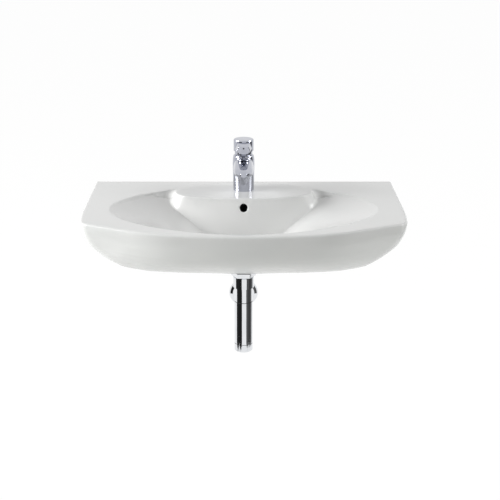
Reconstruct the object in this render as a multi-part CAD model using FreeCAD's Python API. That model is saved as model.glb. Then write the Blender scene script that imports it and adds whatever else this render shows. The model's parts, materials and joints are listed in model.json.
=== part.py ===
"""A wall hung wash basin with its single lever mixer tap, push open waste, bottle trap and wall fixings.

Frame: X to the right as seen from the front, Y into the wall, Z up, in millimetres. The wall's
plane is Y = 0 and the basin stands out from it towards -Y. The origin lies on the wall, midway
between the two wall bolts. Heights are written as a drop below the rim, or a rise above it.
"""

import FreeCAD, Part
import os
from math import acos, asin, atan2, cos, degrees, hypot, pi, radians, sin, tan

Vector = FreeCAD.Vector
X_AXIS = Vector(1, 0, 0)
Y_AXIS = Vector(0, 1, 0)
Z_AXIS = Vector(0, 0, 1)

# ---- basin: outside ----
BASIN_WIDTH = 800.0
BASIN_DEPTH = 480.0
RIM_HEIGHT = 72.0  # the deck above the wall bolts
APRON_DROP = 71.0  # from the deck to the crease between the apron's two bands
HULL_DROP = 156.0  # from the deck to the flat underside
RIM_ROUND = 6.0
CERAMIC_WALL = 12.0
DECK_THICKNESS = 14.0
BACK_WALL = 18.0
BACK_TRIM = 5.0  # cast past the wall's plane, then ground flat

# the front edge in plan: a nearly straight middle, a tighter bend, a straight run, a corner, a bowed side
FRONT_MIDDLE_R = 1000.0
FRONT_BEND_R = 400.0
SIDE_BOW_R = 850.0
MIDDLE_END = radians(9.0)
BEND_END = radians(25.5)
CORNER_END = radians(83.5)

# the hull's sections: drop, how far each lies in from the widest outline at the side and front,
# how much the plan's long curves shrink, and the corner's radius
APRON_SECTIONS = (
    (0.0, 0.0, 0.0, 1.00, 35.0),
    (24.0, 2.0, 3.5, 1.00, 40.0),
    (48.0, 7.5, 14.0, 0.97, 48.0),
    (APRON_DROP, 15.0, 30.0, 0.95, 60.0),
)
BELLY_SECTIONS = (
    APRON_SECTIONS[-1],
    (103.0, 40.0, 60.0, 0.88, 90.0),
    (130.0, 80.0, 112.0, 0.76, 110.0),
    (148.0, 140.0, 162.0, 0.58, 110.0),
    (HULL_DROP, 210.0, 180.0, 0.38, 90.0),
)

# ---- basin: bowl ----
SIDE_DECK = 65.0  # from the bowl's mouth to the basin's side
FRONT_RIM = 17.0  # from the bowl's mouth to the basin's front
BOWL_BACK = 31.0  # from the wall to where the bowl's oval would end, under the platform
BOWL_TIP_R = 60.0
BOWL_TIP_GROWTH = 16.0  # of the oval's tips from the rim to the floor
BOWL_TIP_MARGIN = 5.0  # by which a tip's radius stays under the oval's half depth
BOWL_DROP = 128.0
BOWL_WIDTH_POWER = 1.333  # how the oval's width, depth and height close in from the rim to the floor
BOWL_DEPTH_POWER = 0.75
BOWL_DROP_POWER = 2.4
FLOOR_HALF_WIDTH = 90.0
FLOOR_HALF_DEPTH = 52.0
FLOOR_SHIFT = 3.0  # the floor's centre lies this much further out than the opening's
BOWL_STEPS = (0.0, 0.17, 0.34, 0.5, 0.67, 0.84, 1.0)
BOWL_EDGE_ROUND = 5.0
VALLEY_ROUND = 20.0

# ---- basin: tap platform and the bulge under it ----
PLATFORM_RISE = 5.0
PLATFORM_CENTRE = 112.0  # from the wall
PLATFORM_HALF_WIDTH = 178.0
PLATFORM_FRONT = 69.0
PLATFORM_BACK = 98.0
PLATFORM_TIP_R = 50.0
PLATFORM_ROUND = 4.0
BULGE_STEPS = ((0.0, 0.0, 0.0), (25.0, 10.0, 9.0), (55.0, 22.0, 17.0), (95.0, 36.0, 24.0), (140.0, 52.0, 31.0))

# ---- basin: holes, recess and channel ----
DRAIN_FROM_WALL = 262.0
DRAIN_HOLE_R = 23.0
DRAIN_SEAT_R = 33.5
DRAIN_SEAT_DEPTH = 2.0
DRAIN_BOSS_R = 45.0
TAP_FROM_WALL = 92.0
TAP_HOLE_R = 17.5
OVERFLOW_DROP = 17.6
OVERFLOW_R = 10.0
OVERFLOW_REACH = 40.0  # from the channel out through the bowl's wall
CHANNEL_R = 8.0
CHANNEL_FROM_WALL = 170.0
CHANNEL_DROP = 138.0
CHANNEL_FOOT_R = 6.0
SHELL_CORNERS = 20  # of the flat-sided hidden face behind each oval
SHELL_SAGITTA = 6.0  # allowed for where those flats cut inside the oval
RECESS_HALF_WIDTH = 165.0
RECESS_SIDE_DEPTH = 95.0
RECESS_FRONT_DEPTH = 148.0
RECESS_FRONT_HALF_WIDTH = 60.0
RECESS_SIDE_WALL = 10.0
PIPE_GAP_HALF_WIDTH = 100.0
PIPE_GAP_DROP = 45.0
VENT_R = 10.0

# ---- wall fixings, two of each ----
WALL_BOLT_SPACING = 280.0
WALL_STUD_R = 5.0
WALL_THREAD_R = 4.8
WALL_STUD_IN_WALL = 60.0
WALL_STUD_POINT = 8.0
WALL_STUD_POINT_R = 1.0
WALL_BUSH_SHORT = 1.0  # of the basin's back
WALL_STUD_PAST_NUT = 5.0
WALL_HOLE_R = 9.0
BUSH_FLANGE_R = 14.0
BUSH_FLANGE = 3.0
WALL_WASHER_R = 13.0
WALL_WASHER = 2.0
WALL_NUT_ACROSS = 17.0
WALL_NUT = 8.0

# ---- clearances ----
FIT = 0.1  # radial, between round pieces that seat in each other
RUNNING_FIT = 0.08  # radial, between round pieces that move on each other
MOVING_GAP = 0.4
PAST = 1.0  # how far a cutting tool runs past what it cuts
BEVEL_SHARE = 0.3  # of a double bevel's size, from each face to its middle corner

# ---- waste ----
WASTE_FLANGE_R = 31.5
WASTE_FLANGE = 2.5
WASTE_SEAL = 1.5
WASTE_TUBE_R = 20.95
WASTE_BORE_R = 18.0
WASTE_CUP_R = 24.0
WASTE_CUP_DEPTH = 2.0
WASTE_TAIL = 61.0  # of tube below the flange
WASTE_SLOT_WIDTH = 12.0
WASTE_SLOT_HEIGHT = 10.0
CONE_SEAL_FOOT_R = 27.0
CONE_SEAL_R = 31.0
CONE_SEAL = 6.0
BACK_NUT_ACROSS = 54.0
BACK_NUT = 11.0
PLUG_R = 30.0
PLUG_EDGE = 2.5
PLUG_BEVEL = 7.0
PLUG_BEVEL_RISE = 2.0
PLUG_SEAL_R = 27.0
PLUG_SEAL_WIDTH = 5.0
PLUG_SEAL = 1.5
PLUG_TRAVEL = 9.0
PLUG_STEM_R = 4.0
PLUG_STEM = 50.0
PLUG_BOSS_R = 7.0
PLUG_BOSS = 5.0
PLUG_GUIDE_R = 8.0
PLUG_GUIDE = 26.0
PLUG_GUIDE_DROP = 20.0  # below the waste's flange
PLUG_ARM_WIDTH = 4.0
PLUG_ARM_HEIGHT = 6.0
PLUG_ARMS = 3

# ---- bottle trap ----
COLLAR_R = 26.2
COLLAR = 28.0
COLLAR_LIP = 8.0
TRAP_WASHER = 3.0
TRAP_LAND = 3.0
TRAP_NECK_R = 17.5
TRAP_HEAD_PLATE = 3.0
TRAP_R = 23.4
TRAP_WALL = 2.0
TRAP_HEAD_R = 22.8
TRAP_HEAD = 37.5
TRAP_SPIGOT = 8.0
TRAP_SEAL = 1.2
TRAP_BODY = 114.0
TRAP_CUP = 21.5
TRAP_CUP_BEVEL = 2.0
TRAP_CUP_FLOOR = 3.0
DIP_TUBE_R = 15.0
DIP_TUBE_WALL = 1.5
DIP_TUBE_LIP_R = 17.0
DIP_TUBE_LIP = 1.5
DIP_TUBE = 158.0
OUTLET_DROP = 321.0
OUTLET_SOCKET_R = 19.0
OUTLET_SOCKET = 12.0
OUTLET_WASHER = 2.5
OUTLET_NUT_R = 22.5
OUTLET_NUT = 20.0
OUTLET_NUT_LIP = 6.0
PIPE_IN_SOCKET = 8.0
PIPE_R = 16.0
PIPE_WALL = 1.2
PIPE_IN_WALL = 40.0
PIPE_END_R = 15.8  # drawn in where it goes into the wall's socket
WALL_FLANGE_R = 40.0
WALL_FLANGE = 9.0
WALL_FLANGE_CROWN_R = 30.0
WALL_FLANGE_SHOULDER_R = 37.0
WALL_FLANGE_SHOULDER = 6.0
WALL_FLANGE_SHEET = 1.2

# ---- tap body and spout ----
TAP_BASE_R = 27.0
TAP_SHOULDER_R = 28.6
TAP_SHOULDER_RISE = 70.0
TAP_TOP_R = 26.6
TAP_HEIGHT = 93.0  # of the body, above the platform
TAP_EDGE_BEVEL = 2.0
TAP_WAIST_RISE = 82.0
TAP_WAIST_R = 28.1
SPOUT_REACH = 118.0  # from the tap's axis to the outlet's
SPOUT_STATIONS = (  # reach, half width, underside and top above the platform
    (8.0, 25.0, 40.0, 90.0),
    (60.0, 25.5, 50.0, 88.5),
    (95.0, 23.5, 57.5, 84.5),
    (118.0, 17.5, 61.5, 81.0),
    (132.0, 8.5, 64.0, 77.5),
)
SPOUT_SHOULDER = 0.78  # how far out and up each section's four joins lie, as a share of its half sizes
SPOUT_TIP_ROUND = 3.0
WATERWAY_R = 5.0
WATERWAY_RISE = 70.0
AERATOR_R = 12.0
AERATOR = 18.0
AERATOR_RISE = 53.0  # of its outlet above the platform
AERATOR_WALL = 1.5
AERATOR_LIP = 2.0
AERATOR_INSERT = 12.0
AERATOR_HOLE_R = 0.9
AERATOR_HOLES = 6
AERATOR_WASHER = 1.5
BASE_SEAL_R = 23.0
BASE_SEAL_WIDTH = 3.0
BASE_SEAL = 2.0
FIXING_STUD_R = 4.0
FIXING_STUD_BACK = 10.0  # behind the tap's axis
FIXING_STUD_IN_BODY = 12.0
FIXING_STUD_BELOW_NUT = 18.0
INLET_R = 4.5
INLET_SPACING = 18.0
INLET_AHEAD = 5.0
INLET_DEPTH = 14.0
INLET_WAY_R = 4.3  # from each inlet's thread up to the cartridge
PORT_R = 3.0
CLAMP_R = 22.0
CLAMP_PAD = 2.5
CLAMP_PLATE = 2.5
CLAMP_MOUTH_HALF_WIDTH = 14.0
CLAMP_MOUTH_BACK = 4.0  # behind the tap's axis
CLAMP_NUT_ACROSS = 13.0
CLAMP_NUT = 6.5

# ---- cartridge ----
CARTRIDGE_R = 17.5
CARTRIDGE_BORE_R = 15.0
CARTRIDGE_FLOOR = 3.0
CARTRIDGE = 34.0
CARTRIDGE_FLANGE_R = 19.5
CARTRIDGE_FLANGE = 3.0
CARTRIDGE_LID = 5.0
CARTRIDGE_MOUTH_R = 11.0
CARTRIDGE_NUT_R = 22.0
CARTRIDGE_NUT_BORE_R = 16.0
CARTRIDGE_NUT = 5.0
CARTRIDGE_TOP_DROP = 14.0  # below the tap body's top
DISC_R = 14.0
DISC = 3.0
MOVING_DISC_R = 9.5
DRIVER_R = 3.0
CARRIER_R = 14.0
CARRIER_NECK_R = 9.5
CARRIER_ABOVE_PIVOT = 6.0
CARRIER_SLOT_BELOW_PIVOT = 16.0
PIVOT_ABOVE_BODY = 6.0
PIVOT_PIN_R = 1.75
PIVOT_PIN_SHORT = 1.0  # of the neck's side at each end
STEM_SIDE = 8.0
STEM_BELOW_PIVOT = 12.0
LIFT_ANGLE = radians(25.0)
DOME_R = 23.0
DOME_SHEET = 1.2
DOME_MOUTH_R = 14.0
DOME_COLLAR = 6.0
DOME_BORE_RISE = 4.7  # above the pivot, where its bore starts to close in
DOME_BANDS = 6

# ---- lever ----
LEVER_GAP = 1.5  # between the dome and the lever's hollow
LEVER_R = 26.0
LEVER_BOTTOM = 12.0  # above the body's top
LEVER_HEIGHT = 30.0
LEVER_EDGE_BEVEL = 2.5
NOSE_REACH = 54.0
NOSE_SHOULDER = 9.0  # height of the nose's widest line above its lowest
NOSE_ROOT = (23.0, 18.5, 29.0)  # half widths at the shoulder and the top, and the top's height
NOSE_TIP = (18.0, 13.0, 21.0)
NOSE_TIP_ROUND = 2.0
LEVER_BACK_CUT_RISE = 9.0
STEM_SOCKET = 9.0
GRUB_SCREW_R = 2.5
GRUB_SCREW = 8.0
GRUB_SCREW_BELOW_STEM_TOP = 4.5
BUTTON_R = 2.2
BUTTON = 2.0
BUTTON_BELOW_TOP = 4.0

# ---- heights and places that follow ----
RIM = RIM_HEIGHT
BOWL_HALF_WIDTH = BASIN_WIDTH / 2 - SIDE_DECK
BOWL_HALF_DEPTH = (BASIN_DEPTH - FRONT_RIM - BOWL_BACK) / 2
BOWL_CENTRE = BOWL_BACK + BOWL_HALF_DEPTH
WALL_BOLTS_X = (-WALL_BOLT_SPACING / 2, WALL_BOLT_SPACING / 2)
WALL_WASHER_Y = -BACK_WALL - BUSH_FLANGE
WALL_NUT_Y = WALL_WASHER_Y - WALL_WASHER
WALL_STUD_END = WALL_NUT_Y - WALL_NUT - WALL_STUD_PAST_NUT
PLATFORM = RIM + PLATFORM_RISE
UNDERSIDE = RIM - HULL_DROP
BOWL_FLOOR = RIM - BOWL_DROP
DECK_UNDERSIDE = RIM - DECK_THICKNESS
DRAIN_Y = -DRAIN_FROM_WALL
WASTE_TOP = BOWL_FLOOR - DRAIN_SEAT_DEPTH + WASTE_SEAL + WASTE_FLANGE
WASTE_SEAT = WASTE_TOP - WASTE_FLANGE
WASTE_END = WASTE_SEAT - WASTE_TAIL
PLUG_Z = WASTE_TOP + PLUG_SEAL + PLUG_TRAVEL + MOVING_GAP
TRAP_LAND_TOP = WASTE_END - TRAP_WASHER
COLLAR_END = TRAP_LAND_TOP - TRAP_LAND - COLLAR_LIP
TRAP_HEAD_TOP = COLLAR_END - MOVING_GAP
TRAP_JOINT = TRAP_HEAD_TOP - TRAP_HEAD
CUP_TOP = TRAP_JOINT - TRAP_SEAL - TRAP_BODY
TRAP_END = CUP_TOP - TRAP_CUP
OUTLET_Z = RIM - OUTLET_DROP
SOCKET_END = DRAIN_Y + TRAP_R + OUTLET_SOCKET
OUTLET_NUT_END = SOCKET_END + OUTLET_WASHER + OUTLET_NUT_LIP
TAP_Y = -TAP_FROM_WALL
TAP_TOP = PLATFORM + TAP_HEIGHT
CARTRIDGE_TOP = TAP_TOP - CARTRIDGE_TOP_DROP
CARTRIDGE_END = CARTRIDGE_TOP - CARTRIDGE
PIVOT_Z = TAP_TOP + PIVOT_ABOVE_BODY
LEVER_Z = TAP_TOP + LEVER_BOTTOM
LEVER_TOP = LEVER_Z + LEVER_HEIGHT
LEVER_HOLLOW_R = DOME_R + LEVER_GAP
LID_Z = CARTRIDGE_TOP - CARTRIDGE_LID
DISCS_Z = CARTRIDGE_END + CARTRIDGE_FLOOR
MOVING_DISC_Z = DISCS_Z + DISC + FIT
DRIVER_Z = MOVING_DISC_Z + DISC
DRIVER_TOP = PIVOT_Z - hypot(STEM_BELOW_PIVOT, STEM_SIDE / 2) - MOVING_GAP
DRIVER_TRAVEL = STEM_BELOW_PIVOT * sin(LIFT_ANGLE)
STEM_TOP = PIVOT_Z + LEVER_HOLLOW_R + STEM_SOCKET
GRUB_SCREW_Z = STEM_TOP - GRUB_SCREW_BELOW_STEM_TOP
INLETS = [(side * INLET_SPACING / 2, TAP_Y - INLET_AHEAD) for side in (-1, 1)]
AERATOR_Y = TAP_Y - SPOUT_REACH
AERATOR_END = PLATFORM + AERATOR_RISE
AERATOR_TOP = AERATOR_END + AERATOR
CLAMP_NUT_Z = DECK_UNDERSIDE - CLAMP_PAD - CLAMP_PLATE


# ---- shapes used all over ----
def cylinder(radius, low, high, x=0.0, y=0.0):
    """An upright cylinder between two heights."""
    return Part.makeCylinder(radius, high - low, Vector(x, y, low))


def cylinder_y(radius, near, far, x, z):
    """A cylinder along Y from y = near to y = far."""
    return Part.makeCylinder(radius, far - near, Vector(x, near, z), Y_AXIS)


def ring(outer, inner, low, high, x=0.0, y=0.0):
    """An upright tube or washer."""
    return cylinder(outer, low, high, x, y).cut(cylinder(inner, low - PAST, high + PAST, x, y))


def ring_y(outer, inner, near, far, x, z):
    """A tube or washer along Y."""
    return cylinder_y(outer, near, far, x, z).cut(cylinder_y(inner, near - PAST, far + PAST, x, z))


def box(x_low, x_high, y_low, y_high, z_low, z_high):
    """A box between two corners."""
    corner = Vector(x_low, y_low, z_low)
    return Part.makeBox(x_high - x_low, y_high - y_low, z_high - z_low, corner)


def turned(profile, y):
    """A solid of revolution about the upright axis at x = 0 and the given y, from (radius, z) points."""
    points = [Vector(r, y, z) for r, z in profile]
    face = Part.Face(Part.makePolygon(points + points[:1]))
    return face.revolve(Vector(0, y, 0), Z_AXIS, 360)


def bevelled_edge(radius, height, size):
    """Profile points of an outer top edge that is bevelled twice, close to a round."""
    inner = size * BEVEL_SHARE
    return [(radius, height - size), (radius - inner, height - inner), (radius - size, height)]


def box_about(x, y, width, length, low, high):
    """A box centred in plan on a point."""
    return box(x - width / 2, x + width / 2, y - length / 2, y + length / 2, low, high)


def prism(points, low, high):
    """An upright prism on a closed outline of (x, y) points."""
    corners = [Vector(x, y, low) for x, y in points]
    return Part.Face(Part.makePolygon(corners + corners[:1])).extrude(Vector(0, 0, high - low))


def hexagon(across, low, high, x, y):
    """An upright hexagonal prism, given its size across the flats."""
    corner = across / 2 / cos(pi / 6)
    angles = [k * pi / 3 for k in range(6)]
    return prism([(x + corner * cos(angle), y + corner * sin(angle)) for angle in angles], low, high)


def at_wall_bolts(make):
    """The same piece made at the left and the right wall bolt, as one group."""
    return Part.makeCompound([make(x) for x in WALL_BOLTS_X])


def edges_at(shape, height, tolerance=0.05):
    """The edges that lie flat at one height."""
    boxes = [(edge, edge.BoundBox) for edge in shape.Edges]
    return [e for e, b in boxes if abs(b.ZMin - height) < tolerance and abs(b.ZMax - height) < tolerance]


def one_solid(shape):
    """The largest solid of a boolean's result."""
    return max(shape.Solids, key=lambda s: s.Volume)


def save(name, shape):
    """Write one piece, or one group of like pieces."""
    shape.exportStep("parts/" + name + ".step")


# ---- basin ----
def turn_arc(start, radius, begin, end):
    """Three points of an arc that starts at a point with heading begin and turns to heading end."""

    def at(heading):
        return (start[0] + radius * (sin(heading) - sin(begin)), start[1] + radius * (cos(begin) - cos(heading)))

    return [at(begin), at((begin + end) / 2), at(end)]


def hull_outline(drop, side_inset, front_inset, shrink, corner, inset):
    """The basin's outline in plan at one drop: five curves each side, a middle arc and the back."""
    half_width = BASIN_WIDTH / 2 - side_inset - inset
    depth = BASIN_DEPTH - front_inset - inset
    corner_r = corner - inset
    middle = turn_arc((0.0, 0.0), FRONT_MIDDLE_R * shrink, 0.0, MIDDLE_END)
    bend = turn_arc(middle[2], FRONT_BEND_R * shrink, MIDDLE_END, BEND_END)
    side_r = SIDE_BOW_R * shrink
    side_width = side_r * (1 - sin(CORNER_END))
    corner_width = corner_r * (sin(CORNER_END) - sin(BEND_END))
    run = (half_width - side_width - corner_width - bend[2][0]) / cos(BEND_END)
    run_end = (bend[2][0] + run * cos(BEND_END), bend[2][1] + run * sin(BEND_END))
    corner_arc = turn_arc(run_end, corner_r, BEND_END, CORNER_END)
    side = turn_arc(corner_arc[2], side_r, CORNER_END, pi / 2)
    half = [bend, [bend[2], run_end], corner_arc, side, [side[2], (half_width, depth + BACK_TRIM)]]

    def edge(points, sign):
        corners = [Vector(sign * x, y - depth, RIM - drop) for x, y in points][::sign]
        return Part.Arc(*corners).toShape() if len(corners) == 3 else Part.makeLine(*corners)

    left_end = (-middle[2][0], middle[2][1])
    front = edge([left_end, (0.0, 0.0), middle[2]], 1)
    back = Part.makeLine(*[Vector(side * half_width, BACK_TRIM, RIM - drop) for side in (1, -1)])
    right = [edge(points, 1) for points in half]
    left = [edge(points, -1) for points in reversed(half)]
    return Part.Wire([front] + right + [back] + left)


def hull():
    """The whole outer form as a solid: the upright apron and the belly under its crease."""
    bands = []
    for sections in (APRON_SECTIONS, BELLY_SECTIONS):
        bands.append(Part.makeLoft([hull_outline(*section, 0.0) for section in sections], True))
    behind = box(-BASIN_WIDTH, BASIN_WIDTH, 0, 2 * BACK_TRIM, UNDERSIDE - PAST, RIM + PAST)
    return bands[0].fuse(bands[1]).cut(behind)


def half_oval(half_width, half_depth, tip, centre, height, side):
    """Half of an oval in plan: a tip arc, a long arc and a tip arc, tangent to each other."""
    long_r = ((half_width - tip) ** 2 + half_depth**2 - tip**2) / (2 * (half_depth - tip))
    join = atan2(long_r - half_depth, half_width - tip)

    def on_tip(angle):
        return (half_width - tip + tip * cos(angle), tip * sin(angle))

    def place(x, y):
        return Vector(x, centre + side * y, height)

    middle, end = on_tip(join / 2), on_tip(join)
    right = Part.Arc(place(half_width, 0), place(*middle), place(*end))
    long_arc = Part.Arc(place(*end), place(0, half_depth), place(-end[0], end[1]))
    left = Part.Arc(place(-end[0], end[1]), place(-middle[0], middle[1]), place(-half_width, 0))
    return [right.toShape(), long_arc.toShape(), left.toShape()]


def oval(half_width, front, back, tip, centre, height):
    """A closed oval whose front and back may differ."""
    edges = half_oval(half_width, back, tip, centre, height, 1)
    return Part.Wire(edges + half_oval(half_width, front, tip, centre, height, -1)[::-1])


def dish_oval(step, grow=0.0):
    """One of the ovals of the bowl, from rim (step 0) to floor (step 1)."""
    left_over = 1 - step
    half_width = FLOOR_HALF_WIDTH + (BOWL_HALF_WIDTH - FLOOR_HALF_WIDTH) * left_over**BOWL_WIDTH_POWER
    half_depth = FLOOR_HALF_DEPTH + (BOWL_HALF_DEPTH - FLOOR_HALF_DEPTH) * left_over**BOWL_DEPTH_POWER
    drop = BOWL_DROP * (1 - left_over**BOWL_DROP_POWER)
    tip = min(BOWL_TIP_R + BOWL_TIP_GROWTH * step, half_depth - BOWL_TIP_MARGIN)
    centre = -BOWL_CENTRE - FLOOR_SHIFT * step
    return oval(half_width + grow, half_depth + grow, half_depth + grow, tip + grow, centre, RIM - drop)


def bulge_oval(drop, wider, further, shrink=0.0):
    """One of the ovals of the platform and its bulge, at a drop below the platform."""
    half_width = PLATFORM_HALF_WIDTH + wider - shrink
    front = PLATFORM_FRONT + further - shrink
    back, tip = PLATFORM_BACK - shrink, PLATFORM_TIP_R - shrink
    return oval(half_width, front, back, tip, -PLATFORM_CENTRE, PLATFORM - drop)


def dish():
    """The bowl's hollow before the bulge fills its back: ovals that shrink to a flat floor."""
    return Part.makeLoft([dish_oval(step) for step in BOWL_STEPS], True)


def bulge():
    """The tap's platform and the swelling under it that fills the back of the bowl."""
    return Part.makeLoft([bulge_oval(*step) for step in BULGE_STEPS], True)


def lies_on(shape, edge):
    """Whether an edge's middle lies on one of a shape's upright or sloping faces."""
    middle = Part.Vertex(edge.valueAt((edge.FirstParameter + edge.LastParameter) / 2))
    walls = [face for face in shape.Faces if face.BoundBox.ZLength > 1]
    return min(middle.distToShape(face)[0] for face in walls) < 0.01


def bowl():
    """The bowl as a solid tool: its mouth flares with the rim's round, and its valley is rounded."""
    dish_body, bulge_body, hull_body = dish(), bulge(), hull()
    block = one_solid(hull_body.cut(dish_body))
    mouth = [edge for edge in edges_at(block, RIM) if lies_on(dish_body, edge)]
    flared = one_solid(hull_body.cut(block.makeFillet(BOWL_EDGE_ROUND, mouth)))
    hollow = one_solid(flared.cut(bulge_body))
    flare_foot = RIM - BOWL_EDGE_ROUND
    valley = [e for e in hollow.Edges if lies_on(bulge_body, e) and e.BoundBox.ZMin < RIM - 1]
    valley = [e for e in valley if lies_on(dish_body, e) or e.BoundBox.ZMin > flare_foot]
    return hollow.makeFillet(VALLEY_ROUND, valley)


def flat_sided(outlines):
    """A flat-sided solid through closed outlines of points, from the top one down."""
    return Part.makeLoft([Part.makePolygon(points + points[:1]) for points in outlines], True, True)


def lowered(points, height):
    """The same outline at another height."""
    return [Vector(point.x, point.y, height) for point in points]


def bowl_shell():
    """The ceramic round the bowl and its bulge, down to the underside, flat-sided on its hidden face."""
    grow = CERAMIC_WALL + SHELL_SAGITTA
    outer = [dish_oval(step, grow).discretize(SHELL_CORNERS + 1)[:-1] for step in BOWL_STEPS]
    shell = flat_sided(outer + [lowered(outer[-1], UNDERSIDE)])
    inner = [bulge_oval(*step, CERAMIC_WALL).discretize(SHELL_CORNERS + 1)[:-1] for step in BULGE_STEPS]
    return shell.cut(flat_sided(inner))


def hull_room():
    """The room inside the hull's wall, flat-sided, through the corners of the hull's plan."""
    outlines = []
    for section in (APRON_SECTIONS[0], APRON_SECTIONS[-1], BELLY_SECTIONS[2], BELLY_SECTIONS[3]):
        vertices = hull_outline(*section, CERAMIC_WALL).OrderedVertexes
        outlines.append([vertex.Point for vertex in vertices])
    return flat_sided(outlines)


def recess_outline(wall=0.0):
    """The plan of the service recess behind the bowl, or of the ceramic round it."""
    half, side = RECESS_HALF_WIDTH + wall, -RECESS_SIDE_DEPTH - wall
    front_half, front = RECESS_FRONT_HALF_WIDTH + wall, -RECESS_FRONT_DEPTH - wall
    left = [(-front_half, front), (-half, side), (-half, -BACK_WALL)]
    return left + [(-x, y) for x, y in reversed(left)]


def casting_room():
    """The sealed hollow of the cast rim and belly, round the bowl, the recess and the waste's boss."""
    low, wide = UNDERSIDE + CERAMIC_WALL, BASIN_WIDTH
    room = hull_room().common(box(-wide, wide, -BASIN_DEPTH, -BACK_WALL, low, DECK_UNDERSIDE))
    room = room.cut(prism(recess_outline(RECESS_SIDE_WALL), UNDERSIDE, RIM))
    room = room.cut(cylinder(DRAIN_BOSS_R, UNDERSIDE, RIM, 0, DRAIN_Y))
    room = room.cut(cylinder(CHANNEL_R + CERAMIC_WALL, UNDERSIDE, RIM, 0, -CHANNEL_FROM_WALL))
    return room.cut(bowl_shell())


def casting_hollows():
    """All hollows behind the visible faces: the room, the service recess, the pipe's gap and vents."""
    recess = prism(recess_outline(), UNDERSIDE - PAST, DECK_UNDERSIDE)
    gap = PIPE_GAP_HALF_WIDTH
    pipe_gap = box(-gap, gap, -BACK_WALL - PAST, PAST, UNDERSIDE - PAST, RIM - PIPE_GAP_DROP)
    vent_x = (RECESS_HALF_WIDTH + BASIN_WIDTH / 2) / 2
    vents = [cylinder_y(VENT_R, -BACK_WALL - PAST, PAST, side * vent_x, 0) for side in (-1, 1)]
    return [casting_room(), recess, pipe_gap] + vents


def overflow_passage():
    """The overflow's mouth, its channel down behind the bowl and its way into the drain hole."""
    mouth_z = RIM - OVERFLOW_DROP
    foot_z = RIM - CHANNEL_DROP
    mouth_y = -CHANNEL_FROM_WALL - OVERFLOW_REACH
    mouth = cylinder_y(OVERFLOW_R, mouth_y, -CHANNEL_FROM_WALL, 0, mouth_z)
    down = cylinder(CHANNEL_R, foot_z - CHANNEL_FOOT_R, mouth_z + CHANNEL_R, 0, -CHANNEL_FROM_WALL)
    across = cylinder_y(CHANNEL_FOOT_R, DRAIN_Y, -CHANNEL_FROM_WALL, 0, foot_z)
    return mouth.fuse(down).fuse(across)


def make_basin():
    """The ceramic: hull, platform and bowl, then its rounds, its holes and its hidden hollows."""
    hull_body = hull()
    slab = box(-BASIN_WIDTH, BASIN_WIDTH, -BASIN_DEPTH, 0, RIM - PAST, PLATFORM + PAST)
    body = one_solid(hull_body.cut(bowl()).fuse(bulge().common(slab)))
    body = body.makeFillet(PLATFORM_ROUND, edges_at(body, PLATFORM))
    rim = [e for e in edges_at(body, RIM) if lies_on(hull_body, e) and e.BoundBox.YMin < -0.1]
    body = body.makeFillet(RIM_ROUND, rim)
    for hollow in casting_hollows():
        body = body.cut(hollow)
    body = body.cut(overflow_passage())
    body = body.cut(cylinder(TAP_HOLE_R, DECK_UNDERSIDE - PAST, PLATFORM + PAST, 0, TAP_Y))
    body = body.cut(cylinder(DRAIN_HOLE_R, UNDERSIDE - PAST, RIM, 0, DRAIN_Y))
    body = body.cut(cylinder(DRAIN_SEAT_R, BOWL_FLOOR - DRAIN_SEAT_DEPTH, RIM, 0, DRAIN_Y))
    for side in (-1, 1):
        body = body.cut(cylinder_y(WALL_HOLE_R, -BACK_WALL - PAST, PAST, side * WALL_BOLT_SPACING / 2, 0))
    return one_solid(body)


# ---- wall fixings ----
def wall_stud(x):
    """A hanger stud: its pointed wall end stands in the wall's plug, its thread takes the nut."""
    shank_end = WALL_STUD_IN_WALL - WALL_STUD_POINT
    shank = cylinder_y(WALL_STUD_R, 0, shank_end, x, 0)
    point = Part.makeCone(WALL_STUD_R, WALL_STUD_POINT_R, WALL_STUD_POINT, Vector(x, shank_end, 0), Y_AXIS)
    return cylinder_y(WALL_THREAD_R, WALL_STUD_END, 0, x, 0).fuse(shank).fuse(point)


def wall_bush(x):
    """A flanged sleeve that keeps the stud off the ceramic."""
    sleeve = ring_y(WALL_HOLE_R - FIT, WALL_THREAD_R + FIT, -BACK_WALL, -WALL_BUSH_SHORT, x, 0)
    return sleeve.fuse(ring_y(BUSH_FLANGE_R, WALL_THREAD_R + FIT, WALL_WASHER_Y, -BACK_WALL, x, 0))


def wall_washer(x):
    return ring_y(WALL_WASHER_R, WALL_THREAD_R + FIT, WALL_NUT_Y, WALL_WASHER_Y, x, 0)


def wall_nut(x):
    """A hexagon nut, laid over so that its axis runs along Y."""
    nut = hexagon(WALL_NUT_ACROSS, 0, WALL_NUT, 0, 0)
    nut = nut.cut(cylinder(WALL_THREAD_R + FIT, -PAST, WALL_NUT + PAST))
    nut.rotate(Vector(0, 0, 0), X_AXIS, 90)
    return nut.translated(Vector(x, WALL_NUT_Y, 0))


# ---- waste ----
def plug_guide():
    """The sleeve that the plug's stem slides in, on three arms from the waste's wall."""
    top = WASTE_TOP - PLUG_GUIDE_DROP
    guide = cylinder(PLUG_GUIDE_R, top - PLUG_GUIDE, top, 0, DRAIN_Y)
    middle = (WASTE_BORE_R + WASTE_TUBE_R) / 2
    for k in range(PLUG_ARMS):
        half = PLUG_ARM_WIDTH / 2
        arm = box(0, middle, DRAIN_Y - half, DRAIN_Y + half, top - PLUG_ARM_HEIGHT, top)
        arm.rotate(Vector(0, DRAIN_Y, 0), Z_AXIS, 90 + k * 360 / PLUG_ARMS)
        guide = guide.fuse(arm)
    return guide.cut(cylinder(PLUG_STEM_R + RUNNING_FIT, top - PLUG_GUIDE - PAST, top + PAST, 0, DRAIN_Y))


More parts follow.
